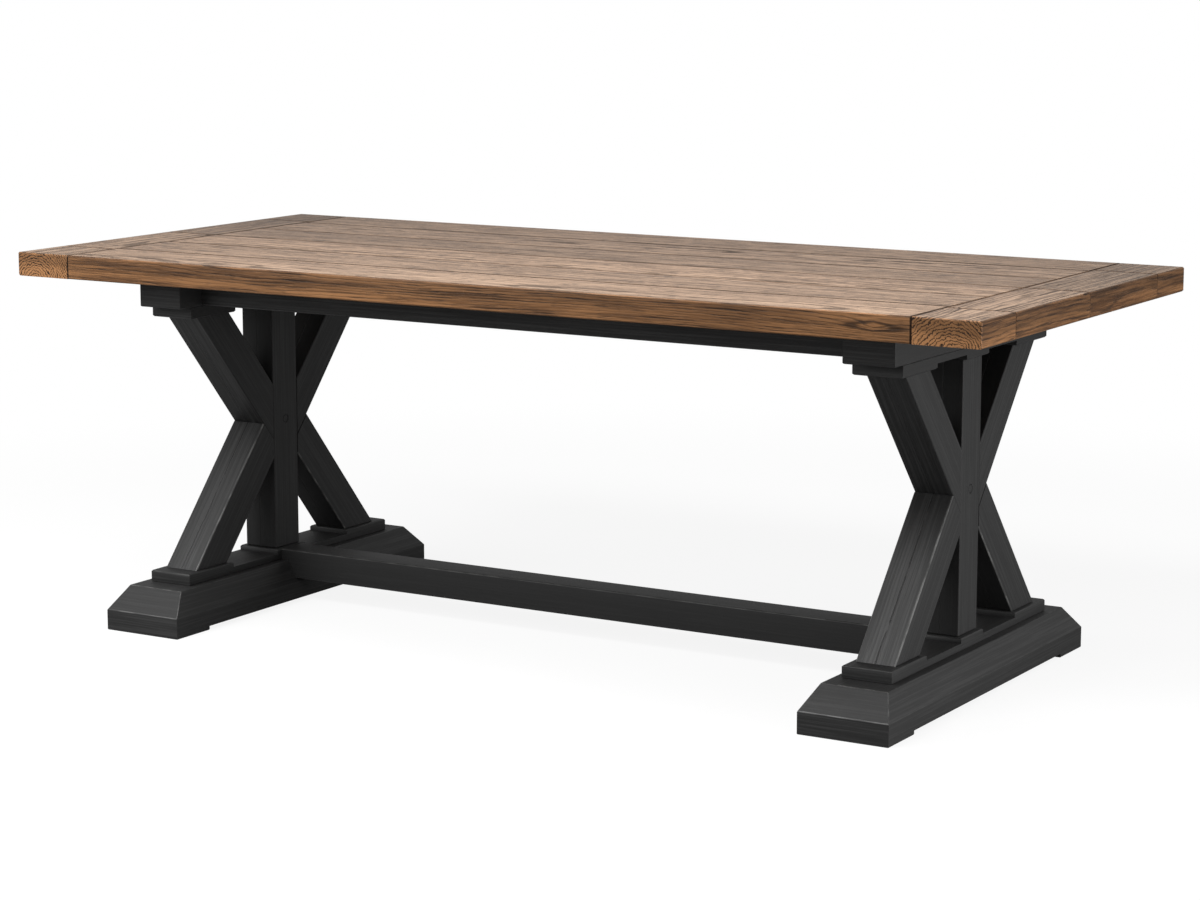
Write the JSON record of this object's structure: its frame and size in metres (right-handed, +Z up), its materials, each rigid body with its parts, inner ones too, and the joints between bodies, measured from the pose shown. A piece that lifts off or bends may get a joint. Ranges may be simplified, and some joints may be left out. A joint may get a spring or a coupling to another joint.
{
  "type": "trestle dining table",
  "caption": "Rectangular oak plank dining table with cross boards at its ends, on two black X-shaped trestles with wide hipped feet, tied by a low stretcher.",
  "frame": {"origin": "on the floor under the middle of the table", "axes": "+X along the length, the front edge at -Y, +Z up"},
  "size_m": [2.134, 0.965, 0.775],
  "materials": {
    "oak_top": "smoked oak with brushed grain and a matt oil",
    "black_wood": "black paint brushed into the grain, worn lighter along the edges",
    "beech": "plain beech",
    "zinc_steel": "bright zinc"
  },
  "bodies": {
    "root": {"apron_back": "black_wood", "apron_front": "black_wood", "bearer_lag_screws": "zinc_steel", "bearer_left": "black_wood", "bearer_right": "black_wood", "cap_plate_left": "black_wood", "cap_plate_right": "black_wood", "corner_block_left_back": "oak_top", "corner_block_left_front": "oak_top", "corner_block_right_back": "oak_top", "corner_block_right_front": "oak_top", "end_board_dowels": "beech", "end_board_left_back": "oak_top", "end_board_left_front": "oak_top", "end_board_right_back": "oak_top", "end_board_right_front": "oak_top", "foot_lag_screws": "zinc_steel", "foot_left": "black_wood", "foot_right": "black_wood", "leg_dowels": "beech", "leg_screws": "zinc_steel", "lower_leg_back_left": "black_wood", "lower_leg_back_right": "black_wood", "lower_leg_front_left": "black_wood", "lower_leg_front_right": "black_wood", "plank_1": "oak_top", "plank_2": "oak_top", "plank_3": "oak_top", "plank_4": "oak_top", "plank_5": "oak_top", "plank_6": "oak_top", "post_bolt_nuts": "zinc_steel", "post_cross_bolts": "zinc_steel", "post_left": "black_wood", "post_plugs": "black_wood", "post_right": "black_wood", "sole_plate_left": "black_wood", "sole_plate_right": "black_wood", "stretcher": "black_wood", "stretcher_lag_screws": "zinc_steel", "top_lag_screws": "zinc_steel", "upper_leg_back_left": "black_wood", "upper_leg_back_right": "black_wood", "upper_leg_front_left": "black_wood", "upper_leg_front_right": "black_wood"}
  },
  "joints": []
}
